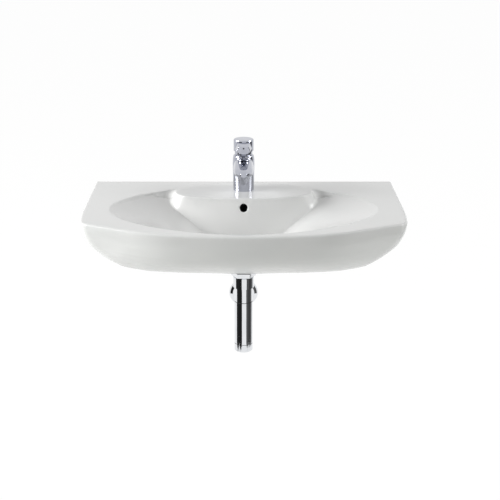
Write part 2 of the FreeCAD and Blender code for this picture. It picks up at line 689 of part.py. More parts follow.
def make_waste_body():
    """The waste: a flange with a shallow cup, and a tube with four overflow slots."""
    body = turned([
        (WASTE_BORE_R, WASTE_END),
        (WASTE_TUBE_R, WASTE_END),
        (WASTE_TUBE_R, WASTE_SEAT),
        (WASTE_FLANGE_R, WASTE_SEAT),
        (WASTE_FLANGE_R, WASTE_TOP),
        (WASTE_CUP_R, WASTE_TOP),
        (WASTE_BORE_R, WASTE_TOP - WASTE_CUP_DEPTH),
    ], DRAIN_Y)
    slot_z = RIM - CHANNEL_DROP
    low, high = slot_z - WASTE_SLOT_HEIGHT / 2, slot_z + WASTE_SLOT_HEIGHT / 2
    across = 2 * WASTE_FLANGE_R
    body = body.cut(box_about(0, DRAIN_Y, across, WASTE_SLOT_WIDTH, low, high))
    body = body.cut(box_about(0, DRAIN_Y, WASTE_SLOT_WIDTH, across, low, high))
    return body.fuse(plug_guide())


def make_plug_cap():
    """The plug's bevelled cap, with the boss under it that holds the stem."""
    edge = PLUG_Z + PLUG_EDGE
    return turned([
        (PLUG_STEM_R + FIT, PLUG_Z - PLUG_BOSS),
        (PLUG_BOSS_R, PLUG_Z - PLUG_BOSS),
        (PLUG_BOSS_R, PLUG_Z),
        (PLUG_R, PLUG_Z),
        (PLUG_R, edge),
        (PLUG_R - PLUG_BEVEL, edge + PLUG_BEVEL_RISE),
        (0, edge + PLUG_BEVEL_RISE),
        (0, PLUG_Z),
        (PLUG_STEM_R + FIT, PLUG_Z),
    ], DRAIN_Y)


def waste_pieces():
    cone = [
        (WASTE_TUBE_R + FIT, UNDERSIDE - CONE_SEAL),
        (CONE_SEAL_FOOT_R, UNDERSIDE - CONE_SEAL),
        (CONE_SEAL_R, UNDERSIDE),
        (WASTE_TUBE_R + FIT, UNDERSIDE),
    ]
    nut_top = UNDERSIDE - CONE_SEAL
    nut = hexagon(BACK_NUT_ACROSS, nut_top - BACK_NUT, nut_top, 0, DRAIN_Y)
    stem = cylinder(PLUG_STEM_R, PLUG_Z - PLUG_STEM, PLUG_Z, 0, DRAIN_Y)
    seal_r = PLUG_SEAL_R - PLUG_SEAL_WIDTH
    tube_r, waste_seal_z = WASTE_TUBE_R + FIT, WASTE_SEAT - WASTE_SEAL
    return {
        "waste_body": make_waste_body(),
        "waste_seal": ring(WASTE_FLANGE_R, tube_r, waste_seal_z, WASTE_SEAT, 0, DRAIN_Y),
        "cone_seal": turned(cone, DRAIN_Y),
        "back_nut": nut.cut(cylinder(tube_r, nut_top - BACK_NUT - PAST, nut_top + PAST, 0, DRAIN_Y)),
        "plug_cap": make_plug_cap(),
        "plug_stem": stem,
        "plug_seal": ring(PLUG_SEAL_R, seal_r, PLUG_Z - PLUG_SEAL, PLUG_Z, 0, DRAIN_Y),
    }


# ---- bottle trap ----
def make_collar_nut():
    """The union nut round the waste's tail, whose lip lifts the trap's head against it."""
    top, thread_r = COLLAR_END + COLLAR, WASTE_TUBE_R + FIT
    nut = ring(COLLAR_R, TRAP_NECK_R + FIT, COLLAR_END, top, 0, DRAIN_Y)
    return nut.cut(cylinder(thread_r, COLLAR_END + COLLAR_LIP, top + PAST, 0, DRAIN_Y))


def make_dip_tube():
    """The tube that takes the water down below the outlet, hung by its lip."""
    bore = DIP_TUBE_R - DIP_TUBE_WALL
    tube = ring(DIP_TUBE_R, bore, TRAP_LAND_TOP - DIP_TUBE, TRAP_LAND_TOP, 0, DRAIN_Y)
    return tube.fuse(ring(DIP_TUBE_LIP_R, bore, TRAP_LAND_TOP - DIP_TUBE_LIP, TRAP_LAND_TOP, 0, DRAIN_Y))


def make_trap_head():
    """The trap's head: a land that the collar lifts, a neck, a plate and a skirt that plugs the body."""
    spigot_r, spigot_end = TRAP_R - TRAP_WALL - FIT, TRAP_JOINT - TRAP_SPIGOT
    head = turned([
        (0, TRAP_LAND_TOP),
        (WASTE_TUBE_R, TRAP_LAND_TOP),
        (WASTE_TUBE_R, TRAP_LAND_TOP - TRAP_LAND),
        (TRAP_NECK_R, TRAP_LAND_TOP - TRAP_LAND),
        (TRAP_NECK_R, TRAP_HEAD_TOP),
        (TRAP_HEAD_R, TRAP_HEAD_TOP),
        (TRAP_HEAD_R, TRAP_JOINT),
        (spigot_r, TRAP_JOINT),
        (spigot_r, spigot_end),
        (0, spigot_end),
    ], DRAIN_Y)
    inside_r = spigot_r - TRAP_WALL
    head = head.cut(cylinder(inside_r, spigot_end - PAST, TRAP_HEAD_TOP - TRAP_HEAD_PLATE, 0, DRAIN_Y))
    head = head.cut(cylinder(DIP_TUBE_R + FIT, spigot_end - PAST, TRAP_LAND_TOP + PAST, 0, DRAIN_Y))
    rebate = cylinder(DIP_TUBE_LIP_R + FIT, TRAP_LAND_TOP - DIP_TUBE_LIP, TRAP_LAND_TOP + PAST, 0, DRAIN_Y)
    return head.cut(rebate)


def make_trap_body():
    """The bottle's tube with the outlet's socket on the wall side."""
    top = TRAP_JOINT - TRAP_SEAL
    body = cylinder(TRAP_R, CUP_TOP, top, 0, DRAIN_Y)
    body = body.fuse(cylinder_y(OUTLET_SOCKET_R, DRAIN_Y, SOCKET_END, 0, OUTLET_Z))
    body = body.cut(cylinder_y(PIPE_R + FIT, DRAIN_Y, SOCKET_END + PAST, 0, OUTLET_Z))
    return body.cut(cylinder(TRAP_R - TRAP_WALL, CUP_TOP - PAST, top + PAST, 0, DRAIN_Y))


def make_trap_cup():
    """The screwed cup at the bottle's foot."""
    top = CUP_TOP - TRAP_SEAL
    cup = cylinder(TRAP_R, TRAP_END, top, 0, DRAIN_Y)
    cup = cup.makeChamfer(TRAP_CUP_BEVEL, edges_at(cup, TRAP_END))
    spigot_r = TRAP_R - TRAP_WALL - RUNNING_FIT
    cup = cup.fuse(cylinder(spigot_r, top, CUP_TOP + TRAP_SPIGOT, 0, DRAIN_Y))
    floor, end = TRAP_END + TRAP_CUP_FLOOR, CUP_TOP + TRAP_SPIGOT + PAST
    return cup.cut(cylinder(spigot_r - TRAP_WALL, floor, end, 0, DRAIN_Y))


def make_outlet_nut():
    """The nut that squeezes the washer between the socket and its own lip."""
    start = OUTLET_NUT_END - OUTLET_NUT
    nut = ring_y(OUTLET_NUT_R, PIPE_R + FIT, start, OUTLET_NUT_END, 0, OUTLET_Z)
    return nut.cut(cylinder_y(OUTLET_SOCKET_R + FIT, start - PAST, SOCKET_END + OUTLET_WASHER, 0, OUTLET_Z))


def make_wall_flange():
    """The pressed rosette over the pipe's hole in the wall: a flat crown and a skirt bent twice."""
    sheet = WALL_FLANGE_SHEET
    outside = [
        (PIPE_R + RUNNING_FIT, WALL_FLANGE),
        (WALL_FLANGE_CROWN_R, WALL_FLANGE),
        (WALL_FLANGE_SHOULDER_R, WALL_FLANGE_SHOULDER),
        (WALL_FLANGE_R, 0),
    ]
    inside = [
        (WALL_FLANGE_R - sheet, 0),
        (WALL_FLANGE_SHOULDER_R - sheet, WALL_FLANGE_SHOULDER - sheet),
        (WALL_FLANGE_CROWN_R, WALL_FLANGE - sheet),
        (PIPE_R + RUNNING_FIT, WALL_FLANGE - sheet),
    ]
    rosette = turned(outside + inside, 0)
    rosette.rotate(Vector(0, 0, 0), X_AXIS, 90)
    return rosette.translated(Vector(0, 0, OUTLET_Z))


def trap_pieces():
    seal_r = TRAP_R - TRAP_WALL + FIT
    washer_end = SOCKET_END + OUTLET_WASHER
    pipe_bore_r = PIPE_R - PIPE_WALL
    pipe = ring_y(PIPE_R, pipe_bore_r, SOCKET_END - PIPE_IN_SOCKET, 0, 0, OUTLET_Z)
    return {
        "collar_nut": make_collar_nut(),
        "cone_washer": ring(WASTE_TUBE_R, DIP_TUBE_R, TRAP_LAND_TOP, WASTE_END, 0, DRAIN_Y),
        "dip_tube": make_dip_tube(),
        "trap_head": make_trap_head(),
        "head_seal": ring(TRAP_HEAD_R, seal_r, TRAP_JOINT - TRAP_SEAL, TRAP_JOINT, 0, DRAIN_Y),
        "trap_body": make_trap_body(),
        "trap_cup": make_trap_cup(),
        "cup_seal": ring(TRAP_HEAD_R, seal_r, CUP_TOP - TRAP_SEAL, CUP_TOP, 0, DRAIN_Y),
        "outlet_washer": ring_y(OUTLET_SOCKET_R, PIPE_R + FIT, SOCKET_END, washer_end, 0, OUTLET_Z),
        "outlet_nut": make_outlet_nut(),
        "outlet_pipe": pipe.fuse(ring_y(PIPE_END_R, pipe_bore_r, 0, PIPE_IN_WALL, 0, OUTLET_Z)),
        "wall_flange": make_wall_flange(),
    }


# ---- tap ----
def tap_column():
    """The tap's upright body: it widens to a shoulder, then draws in to its bevelled top."""
    profile = [(0, 0), (TAP_BASE_R, 0), (TAP_SHOULDER_R, TAP_SHOULDER_RISE), (TAP_WAIST_R, TAP_WAIST_RISE)]
    profile += bevelled_edge(TAP_TOP_R, TAP_HEIGHT, TAP_EDGE_BEVEL) + [(0, TAP_HEIGHT)]
    return turned([(radius, PLATFORM + rise) for radius, rise in profile], TAP_Y)


def spout_section(reach, half_width, low, high):
    """A rounded section across the spout, at one reach from the tap's axis: four arcs."""
    middle, half_height = PLATFORM + (low + high) / 2, (high - low) / 2

    def at(across, up):
        return Vector(half_width * across, TAP_Y - reach, middle + half_height * up)

    join = SPOUT_SHOULDER
    corners = [at(join, join), at(-join, join), at(-join, -join), at(join, -join), at(join, join)]
    tops = [at(0, 1), at(-1, 0), at(0, -1), at(1, 0)]
    return Part.Wire([Part.Arc(corners[k], tops[k], corners[k + 1]).toShape() for k in range(4)])


def spout():
    """The spout, narrowing to a blunt rounded tip."""
    body = Part.makeLoft([spout_section(*station) for station in SPOUT_STATIONS], True)
    tip_y = TAP_Y - SPOUT_STATIONS[-1][0]
    tip = [edge for edge in body.Edges if abs(edge.BoundBox.YMax - tip_y) < 0.05]
    return body.makeFillet(SPOUT_TIP_ROUND, tip)


def tap_bores():
    """All that is bored into the tap's body: cartridge seat, waterway, aerator, inlets and stud hole."""
    flange_z = CARTRIDGE_TOP - CARTRIDGE_FLANGE
    aerator_end = AERATOR_TOP + AERATOR_WASHER
    seal_bore_r = BASE_SEAL_R - BASE_SEAL_WIDTH - FIT
    stud_top = PLATFORM + FIXING_STUD_IN_BODY
    bores = [
        cylinder(CARTRIDGE_R + FIT, CARTRIDGE_END, TAP_TOP, 0, TAP_Y),
        cylinder(CARTRIDGE_FLANGE_R + FIT, flange_z, TAP_TOP, 0, TAP_Y),
        cylinder(CARTRIDGE_NUT_R + FIT, CARTRIDGE_TOP, TAP_TOP + PAST, 0, TAP_Y),
        cylinder_y(WATERWAY_R, AERATOR_Y, TAP_Y, 0, PLATFORM + WATERWAY_RISE),
        cylinder(AERATOR_R + FIT, AERATOR_END - AERATOR, aerator_end, 0, AERATOR_Y),
        ring(BASE_SEAL_R + FIT, seal_bore_r, PLATFORM - PAST, PLATFORM + BASE_SEAL, 0, TAP_Y),
        cylinder(FIXING_STUD_R + FIT, PLATFORM - PAST, stud_top, 0, TAP_Y + FIXING_STUD_BACK),
    ]
    for x, y in INLETS:
        bores.append(cylinder(INLET_R, PLATFORM - PAST, PLATFORM + INLET_DEPTH, x, y))
        bores.append(cylinder(INLET_WAY_R, PLATFORM, CARTRIDGE_END + PAST, x, y))
    return bores


def make_tap_body():
    """The tap's casting: column and spout, bored for everything that it carries."""
    body = tap_column().fuse(spout())
    for bore in tap_bores():
        body = body.cut(bore)
    return one_solid(body)


def clamp_disc(low, high):
    """A horseshoe under the deck: its mouth faces the front, for the supply pipes."""
    disc = cylinder(CLAMP_R, low, high, 0, TAP_Y)
    half, low, high = CLAMP_MOUTH_HALF_WIDTH, low - PAST, high + PAST
    disc = disc.cut(box(-half, half, TAP_Y - CLAMP_R - PAST, TAP_Y + CLAMP_MOUTH_BACK, low, high))
    return disc.cut(cylinder(FIXING_STUD_R + FIT, low, high, 0, TAP_Y + FIXING_STUD_BACK))


def fixing_pieces():
    """What holds the tap on the deck."""
    stud_y, nut_end = TAP_Y + FIXING_STUD_BACK, CLAMP_NUT_Z - CLAMP_NUT
    nut = hexagon(CLAMP_NUT_ACROSS, nut_end, CLAMP_NUT_Z, 0, stud_y)
    stud_end, stud_top = nut_end - FIXING_STUD_BELOW_NUT, PLATFORM + FIXING_STUD_IN_BODY
    seal_r = BASE_SEAL_R - BASE_SEAL_WIDTH
    return {
        "base_seal": ring(BASE_SEAL_R, seal_r, PLATFORM, PLATFORM + BASE_SEAL, 0, TAP_Y),
        "tap_stud": cylinder(FIXING_STUD_R, stud_end, stud_top, 0, stud_y),
        "clamp_pad": clamp_disc(DECK_UNDERSIDE - CLAMP_PAD, DECK_UNDERSIDE),
        "clamp_plate": clamp_disc(CLAMP_NUT_Z, CLAMP_NUT_Z + CLAMP_PLATE),
        "clamp_nut": nut.cut(cylinder(FIXING_STUD_R + FIT, nut_end - PAST, CLAMP_NUT_Z + PAST, 0, stud_y)),
    }


def make_aerator_insert():
    """The jet breaker: a plug with a ring of holes and one in its middle."""
    low = AERATOR_END + AERATOR_LIP
    insert = cylinder(AERATOR_R - AERATOR_WALL - FIT, low, low + AERATOR_INSERT, 0, AERATOR_Y)
    places = [(0, AERATOR_Y)]
    for k in range(AERATOR_HOLES):
        angle = 2 * pi * k / AERATOR_HOLES
        reach = AERATOR_R / 2
        places.append((reach * cos(angle), AERATOR_Y + reach * sin(angle)))
    for x, y in places:
        insert = insert.cut(cylinder(AERATOR_HOLE_R, low - PAST, low + AERATOR_INSERT + PAST, x, y))
    return insert


def aerator_pieces():
    """The aerator screwed up into the spout's tip."""
    bore_r = AERATOR_R - AERATOR_WALL
    lip_r, washer_top = bore_r - AERATOR_WALL, AERATOR_TOP + AERATOR_WASHER
    housing = ring(AERATOR_R, lip_r, AERATOR_END, AERATOR_TOP, 0, AERATOR_Y)
    housing = housing.cut(cylinder(bore_r, AERATOR_END + AERATOR_LIP, AERATOR_TOP + PAST, 0, AERATOR_Y))
    return {
        "aerator_housing": housing,
        "aerator_insert": make_aerator_insert(),
        "aerator_washer": ring(AERATOR_R, lip_r, AERATOR_TOP, washer_top, 0, AERATOR_Y),
    }


# ---- cartridge ----
def ported(shape, low, high):
    """A disc or floor with the two inlet ports and the outlet port through it."""
    for x, y in INLETS:
        shape = shape.cut(cylinder(PORT_R, low - PAST, high + PAST, x, y))
    return shape.cut(cylinder(PORT_R, low - PAST, high + PAST, 0, TAP_Y + INLET_AHEAD + PORT_R))


def make_cartridge_housing():
    """The cartridge's cup, with ports in its floor and a window towards the spout."""
    housing = cylinder(CARTRIDGE_R, CARTRIDGE_END, LID_Z + CARTRIDGE_LID, 0, TAP_Y)
    flange = cylinder(CARTRIDGE_FLANGE_R, CARTRIDGE_TOP - CARTRIDGE_FLANGE, CARTRIDGE_TOP, 0, TAP_Y)
    housing = housing.fuse(flange).cut(cylinder(CARTRIDGE_BORE_R, DISCS_Z, CARTRIDGE_TOP + PAST, 0, TAP_Y))
    return ported(housing, CARTRIDGE_END, DISCS_Z)


def make_carrier():
    """The turning carrier: a disc under the lid and a forked neck that holds the stem's pin."""
    low, neck_top = DRIVER_Z + MOVING_GAP, PIVOT_Z + CARRIER_ABOVE_PIVOT
    carrier = cylinder(CARRIER_R, low, LID_Z - MOVING_GAP, 0, TAP_Y)
    carrier = carrier.fuse(cylinder(CARRIER_NECK_R, low, neck_top, 0, TAP_Y))
    slot = STEM_SIDE / 2 + MOVING_GAP
    slot_z = PIVOT_Z - CARRIER_SLOT_BELOW_PIVOT
    neck = CARRIER_NECK_R + PAST
    carrier = carrier.cut(box(-slot, slot, TAP_Y - neck, TAP_Y + neck, slot_z, neck_top + PAST))
    way = DRIVER_R + MOVING_GAP
    driver_way = box(-way, way, TAP_Y - way - DRIVER_TRAVEL, TAP_Y + way, low - PAST, slot_z + PAST)
    carrier = carrier.cut(driver_way)
    return carrier.cut(across_fork(PIVOT_PIN_R, neck))


def across_fork(radius, half):
    """The pin across the fork, or the hole for it, reaching half to each side."""
    return Part.makeCylinder(radius, 2 * half, Vector(-half, TAP_Y, PIVOT_Z), X_AXIS)


def make_dome():
    """The dome over the cartridge: bands round a sphere, a mouth for the stem, a screwed collar below."""
    begin, end = -asin(PIVOT_ABOVE_BODY / DOME_R), acos(DOME_MOUTH_R / DOME_R)
    angles = [begin + (end - begin) * k / DOME_BANDS for k in range(DOME_BANDS + 1)]
    sphere = [(DOME_R * cos(angle), PIVOT_Z + DOME_R * sin(angle)) for angle in angles]
    bore_r, collar_z = CARTRIDGE_NUT_R - DOME_SHEET, TAP_TOP - DOME_COLLAR
    collar = [(bore_r, collar_z), (CARTRIDGE_NUT_R, collar_z), (CARTRIDGE_NUT_R, TAP_TOP)]
    inside = [(DOME_MOUTH_R, sphere[-1][1] - DOME_SHEET), (bore_r, PIVOT_Z + DOME_BORE_RISE)]
    return turned(collar + sphere + inside, TAP_Y)


def cartridge_pieces():
    stem = box_about(0, TAP_Y, STEM_SIDE, STEM_SIDE, PIVOT_Z - STEM_BELOW_PIVOT, STEM_TOP)
    nut_top, disc_top = CARTRIDGE_TOP + CARTRIDGE_NUT, DISCS_Z + DISC
    lid_r = CARTRIDGE_BORE_R - FIT
    return {
        "cartridge_housing": make_cartridge_housing(),
        "cartridge_lid": ring(lid_r, CARTRIDGE_MOUTH_R, LID_Z, CARTRIDGE_TOP, 0, TAP_Y),
        "cartridge_nut": ring(CARTRIDGE_NUT_R, CARTRIDGE_NUT_BORE_R, CARTRIDGE_TOP, nut_top, 0, TAP_Y),
        "fixed_disc": ported(cylinder(DISC_R, DISCS_Z, disc_top, 0, TAP_Y), DISCS_Z, disc_top),
        "moving_disc": cylinder(MOVING_DISC_R, MOVING_DISC_Z, DRIVER_Z, 0, TAP_Y),
        "disc_driver": cylinder(DRIVER_R, DRIVER_Z, DRIVER_TOP, 0, TAP_Y),
        "cartridge_carrier": make_carrier(),
        "pivot_pin": across_fork(PIVOT_PIN_R - FIT / 2, CARRIER_NECK_R - PIVOT_PIN_SHORT),
        "cartridge_stem": stem.cut(across_fork(PIVOT_PIN_R + RUNNING_FIT, CARRIER_NECK_R)),
        "dome": make_dome(),
    }


# ---- lever ----
def nose_section(reach, shoulder_half, top_half, top):
    """A section across the lever's nose: a flat top, two leaning sides and a round belly."""
    y, top_z, shoulder_z = TAP_Y - reach, LEVER_Z + top, LEVER_Z + NOSE_SHOULDER
    corners = [Vector(x, y, z) for x, z in (
        (shoulder_half, shoulder_z),
        (top_half, top_z),
        (-top_half, top_z),
        (-shoulder_half, shoulder_z),
    )]
    belly = Part.Arc(corners[3], Vector(0, y, LEVER_Z), corners[0]).toShape()
    return Part.Wire([Part.makeLine(*corners[k:k + 2]) for k in range(3)] + [belly])


def lever_nose():
    """The part of the lever that the hand lifts, softened at its tip."""
    nose = Part.makeLoft([nose_section(0, *NOSE_ROOT), nose_section(NOSE_REACH, *NOSE_TIP)], True, True)
    tip = [edge for edge in nose.Edges if abs(edge.BoundBox.YMax - TAP_Y + NOSE_REACH) < 0.05]
    return nose.makeFillet(NOSE_TIP_ROUND, tip)


def lever_hollow():
    """The hollow that clears the dome however the lever tilts: a bore with a bevelled end round its sphere."""
    corner = LEVER_HOLLOW_R * tan(pi / 8)
    return turned([
        (0, PIVOT_Z),
        (LEVER_HOLLOW_R, PIVOT_Z),
        (LEVER_HOLLOW_R, PIVOT_Z + corner),
        (corner, PIVOT_Z + LEVER_HOLLOW_R),
        (0, PIVOT_Z + LEVER_HOLLOW_R),
    ], TAP_Y)


def make_lever():
    """The lever: a cap hollowed over the dome, its nose, its stem socket and its screw hole."""
    edge = bevelled_edge(LEVER_R, LEVER_TOP, LEVER_EDGE_BEVEL)
    cap = turned([(0, LEVER_Z), (LEVER_R, LEVER_Z)] + edge + [(0, LEVER_TOP)], TAP_Y)
    lever = cap.fuse(lever_nose()).cut(lever_hollow())
    wedge = box(-2 * LEVER_R, 2 * LEVER_R, TAP_Y, TAP_Y + 2 * LEVER_R, LEVER_Z - LEVER_R, LEVER_Z)
    wedge.rotate(Vector(0, TAP_Y, LEVER_Z), X_AXIS, degrees(atan2(LEVER_BACK_CUT_RISE, LEVER_R)))
    side = STEM_SIDE + 2 * FIT
    lever = lever.cut(wedge).cut(box_about(0, TAP_Y, side, side, PIVOT_Z, STEM_TOP))
    lever = lever.cut(cylinder_y(GRUB_SCREW_R + FIT, TAP_Y, TAP_Y + LEVER_R + PAST, 0, GRUB_SCREW_Z))
    return lever.cut(index_button(BUTTON_R + FIT))


def index_button(radius):
    """The small coloured button in the nose's front, or the hole for it."""
    front, z = TAP_Y - NOSE_REACH, LEVER_Z + NOSE_TIP[2] - BUTTON_BELOW_TOP
    return cylinder_y(radius, front, front + BUTTON, 0, z)


def lever_pieces():
    screw_start = TAP_Y + STEM_SIDE / 2
    return {
        "lever": make_lever(),
        "grub_screw": cylinder_y(GRUB_SCREW_R, screw_start, screw_start + GRUB_SCREW, 0, GRUB_SCREW_Z),
        "index_button": index_button(BUTTON_R),
    }


def main():
    """Build every piece and write it."""
    os.makedirs("parts", exist_ok=True)
    pieces = {
        "wall_studs": at_wall_bolts(wall_stud),
        "wall_bushes": at_wall_bolts(wall_bush),
        "wall_washers": at_wall_bolts(wall_washer),
        "wall_nuts": at_wall_bolts(wall_nut),
        "tap_body": make_tap_body(),
        "basin": make_basin(),
    }
    for group in (waste_pieces, trap_pieces, fixing_pieces, aerator_pieces, cartridge_pieces, lever_pieces):
        pieces.update(group())
    for name, shape in pieces.items():
        save(name, shape)


main()
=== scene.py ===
# %% [markdown]
# # A wall hung basin with its mixer, waste and bottle trap
# The engineering model is loaded first, as a frame that never changes. Each of its nodes already sits in
# the right place, in metres. This script gives every node its finish, and swaps the basin for a piece with
# the softer form that slip casting gives it.

# %% Load the frame
import json
import math
import bmesh
import bpy
import numpy as np
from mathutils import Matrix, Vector
from mathutils.bvhtree import BVHTree

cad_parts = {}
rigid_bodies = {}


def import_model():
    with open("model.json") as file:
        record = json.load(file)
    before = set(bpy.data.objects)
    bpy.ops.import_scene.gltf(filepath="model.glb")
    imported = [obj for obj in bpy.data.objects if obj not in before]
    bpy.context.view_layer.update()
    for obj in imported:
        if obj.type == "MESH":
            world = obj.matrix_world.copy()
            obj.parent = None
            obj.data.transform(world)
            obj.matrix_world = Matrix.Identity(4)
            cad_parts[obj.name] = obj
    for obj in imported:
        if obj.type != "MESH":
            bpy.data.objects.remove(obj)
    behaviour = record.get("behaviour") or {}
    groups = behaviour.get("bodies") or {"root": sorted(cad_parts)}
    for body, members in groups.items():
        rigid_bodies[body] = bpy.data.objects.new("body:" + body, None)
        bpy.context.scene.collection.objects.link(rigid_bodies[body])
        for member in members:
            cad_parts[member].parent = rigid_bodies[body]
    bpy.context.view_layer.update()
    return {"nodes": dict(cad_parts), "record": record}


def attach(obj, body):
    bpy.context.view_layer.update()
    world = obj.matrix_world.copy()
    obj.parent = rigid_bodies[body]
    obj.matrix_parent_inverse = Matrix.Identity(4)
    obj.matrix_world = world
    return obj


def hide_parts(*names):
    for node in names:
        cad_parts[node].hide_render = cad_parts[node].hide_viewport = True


for stray in list(bpy.data.objects):
    bpy.data.objects.remove(stray)
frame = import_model()
nodes = frame["nodes"]

# %% [markdown]
# ## The camera
# A product camera stands well back with a long lens, so that the two ends of a wide basin hardly spread.
# The rim's corners gave the place and the tilt of this one. A tiny shift moves the frame sideways, which
# keeps the camera itself on the basin's middle plane.

# %% Camera
FRAME_PX = 500
FOCAL_PX = 1100
MIDDLE_PX = 243.6
SENSOR_MM = 36.0
CAMERA_PLACE = (0.0, -2.879, 0.863)
LOOKS_DOWN_DEG = 18.92

lens = bpy.data.cameras.new("lens")
lens.sensor_width = SENSOR_MM
lens.lens = FOCAL_PX / FRAME_PX * SENSOR_MM
lens.shift_x = (FRAME_PX / 2 - MIDDLE_PX) / FRAME_PX
camera = bpy.data.objects.new("camera", lens)
camera.location = CAMERA_PLACE
camera.rotation_euler = (math.radians(90 - LOOKS_DOWN_DEG), 0, 0)
bpy.context.scene.collection.objects.link(camera)
bpy.context.scene.camera = camera
bpy.context.scene.view_settings.view_transform = "Standard"
print("lens", round(lens.lens, 1), "mm")

# %% [markdown]
# ## Writing materials as sums
# A material is a small circuit. Dragging its wires in the editor is slow to read back later, so a socket is
# wrapped in a class that knows plus, minus and times. Then `0.1 + 0.05 * cloud` adds two Math nodes.
# Everything that isn't plain arithmetic comes from one method, `node`.


# %% Wires and finishes
class Wire:
    """An output socket that can be used in sums."""

    def __init__(self, finish, socket):
        self.finish = finish
        self.socket = socket

    def sum(self, operation, first, second):
        return self.finish.node("ShaderNodeMath", {"operation": operation}, {0: first, 1: second})

    def __add__(self, other):
        return self.sum("ADD", self, other)

    def __radd__(self, other):
        return self.sum("ADD", other, self)

    def __sub__(self, other):
        return self.sum("SUBTRACT", self, other)

    def __rsub__(self, other):
        return self.sum("SUBTRACT", other, self)

    def __mul__(self, other):
        return self.sum("MULTIPLY", self, other)

    def __rmul__(self, other):
        return self.sum("MULTIPLY", other, self)

    def over(self, low, high):
        """0 below low, 1 above high, and smooth between them."""
        step = {"interpolation_type": "SMOOTHSTEP"}
        return self.finish.node("ShaderNodeMapRange", step, {
            "Value": self, "From Min": low, "From Max": high})


class Finish:
    """One material, its nodes, and the Principled shader that they feed."""

    def __init__(self, name, **fixed):
        self.material = bpy.data.materials.new(name)
        self.material.use_nodes = True
        self.tree = self.material.node_tree
        self.shader = self.tree.nodes["Principled BSDF"]
        self.feed(**fixed)
        self.place = self.node("ShaderNodeTexCoord", result="Object")

    def node(self, kind, settings=None, sockets=None, result=0):
        """A new node of a kind, with its settings made first and its sockets filled or wired."""
        new = self.tree.nodes.new(kind)
        for name, value in (settings or {}).items():
            setattr(new, name, value)
        for name, value in (sockets or {}).items():
            self.plug(new.inputs[name], value)
        return Wire(self, new.outputs[result])

    def plug(self, socket, value):
        """Wires a socket, or sets it where the value is a plain one."""
        if isinstance(value, Wire):
            self.tree.links.new(value.socket, socket)
        else:
            socket.default_value = value

    def feed(self, **sockets):
        """Fills the shader's own sockets, which are named with _ for a space."""
        for name, value in sockets.items():
            self.plug(self.shader.inputs[name.replace("_", " ")], value)

    def cloud(self, per_metre, detail=2.0, roughness=0.5):
        """Soft noise from 0 to 1, with about so many blobs in a metre."""
        return self.node("ShaderNodeTexNoise", None, {
            "Vector": self.place, "Scale": per_metre, "Detail": detail, "Roughness": roughness})

    def axis(self, letter):
        """One of the object's own coordinates, in metres."""
        return self.node("ShaderNodeSeparateXYZ", None, {"Vector": self.place}, result=letter)

    def blend(self, factor, first, second):
        """A colour that goes from first to second as factor goes from 0 to 1."""
        mix = self.tree.nodes.new("ShaderNodeMix")
        mix.data_type = "RGBA"
        for socket, value in ((mix.inputs[0], factor), (mix.inputs[6], first), (mix.inputs[7], second)):
            self.plug(socket, value)
        return Wire(self, mix.outputs[2])

    def bumps(self, height, metres, strength):
        """Feeds the shader's normal with a relief of that many metres."""
        self.feed(Normal=self.node("ShaderNodeBump", None, {
            "Height": height, "Distance": metres, "Strength": strength}))


print("wires and finishes ready")

# %% [markdown]
# ## Glazed ceramic
# Sanitary ware is fired clay under a thick white glass. The glass pools a little, so its surface waves very
# slightly over a few centimetres and has a finer orange peel. It throws back a soft sheen rather than a
# sharp image, so the roughness is a good deal higher than a mirror's. The face against the wall is wiped
# clean of glaze before firing and stays matt and a shade warmer, so the finish reads the distance from the
# wall.

# %% Glaze
GLAZE_WHITE = (0.865, 0.868, 0.858, 1)
GLAZE_POOLED = (0.845, 0.852, 0.842, 1)
BARE_CLAY = (0.74, 0.70, 0.63, 1)
BARE_CLAY_PALE = (0.80, 0.77, 0.71, 1)
WIPED_BAND = 0.0012

glaze = Finish("glazed_ceramic_finish", IOR=1.5, Coat_IOR=1.5, Coat_Roughness=0.26)
from_wall = glaze.axis("Y")
bare = from_wall.over(-WIPED_BAND, -WIPED_BAND / 2)
glass = glaze.blend(glaze.cloud(7, 1.0).over(0.35, 0.7), GLAZE_WHITE, GLAZE_POOLED)
clay = glaze.blend(glaze.cloud(900, 3.0).over(0.3, 0.7), BARE_CLAY, BARE_CLAY_PALE)
glaze.feed(Roughness=0.2 + 0.07 * glaze.cloud(30, 2.0) + 0.5 * bare)
glaze.bumps(glaze.cloud(28, 1.0) + 0.05 * glaze.cloud(420, 2.0), 0.0004, 0.25)
print("glaze", [round(v, 2) for v in GLAZE_WHITE[:3]])

# %% [markdown]
# ## The overflow's depth
# No glaze runs down the overflow's channel, and hardly any light gets there. Light that bounces in a white
# bore would leave it grey, so the colour inside the two bores is painted shade, near black, and the coat goes
# there too. They are found by their place: the level one from the bowl's wall, round its own axis, and the
# upright one behind it.

# %% Overflow
# painted shade: a near-black colour for the dark inside the overflow's two bores
PAINTED_BORE_SHADE = (0.035, 0.035, 0.037, 1)
MOUTH_R = 0.0101
MOUTH_Z = 0.0544
MOUTH_SOFT = 0.0005
BORE_START_Y = -0.215
CHANNEL_HALF = 0.0085
CHANNEL_FRONT_Y = -0.1815
CHANNEL_BACK_Y = -0.158
CHANNEL_TOP_Z = 0.0655
CHANNEL_SOFT = 0.0015


def past(wire, start):
    """1 where a coordinate of the glaze is past start."""
    return wire.over(start, start + CHANNEL_SOFT)


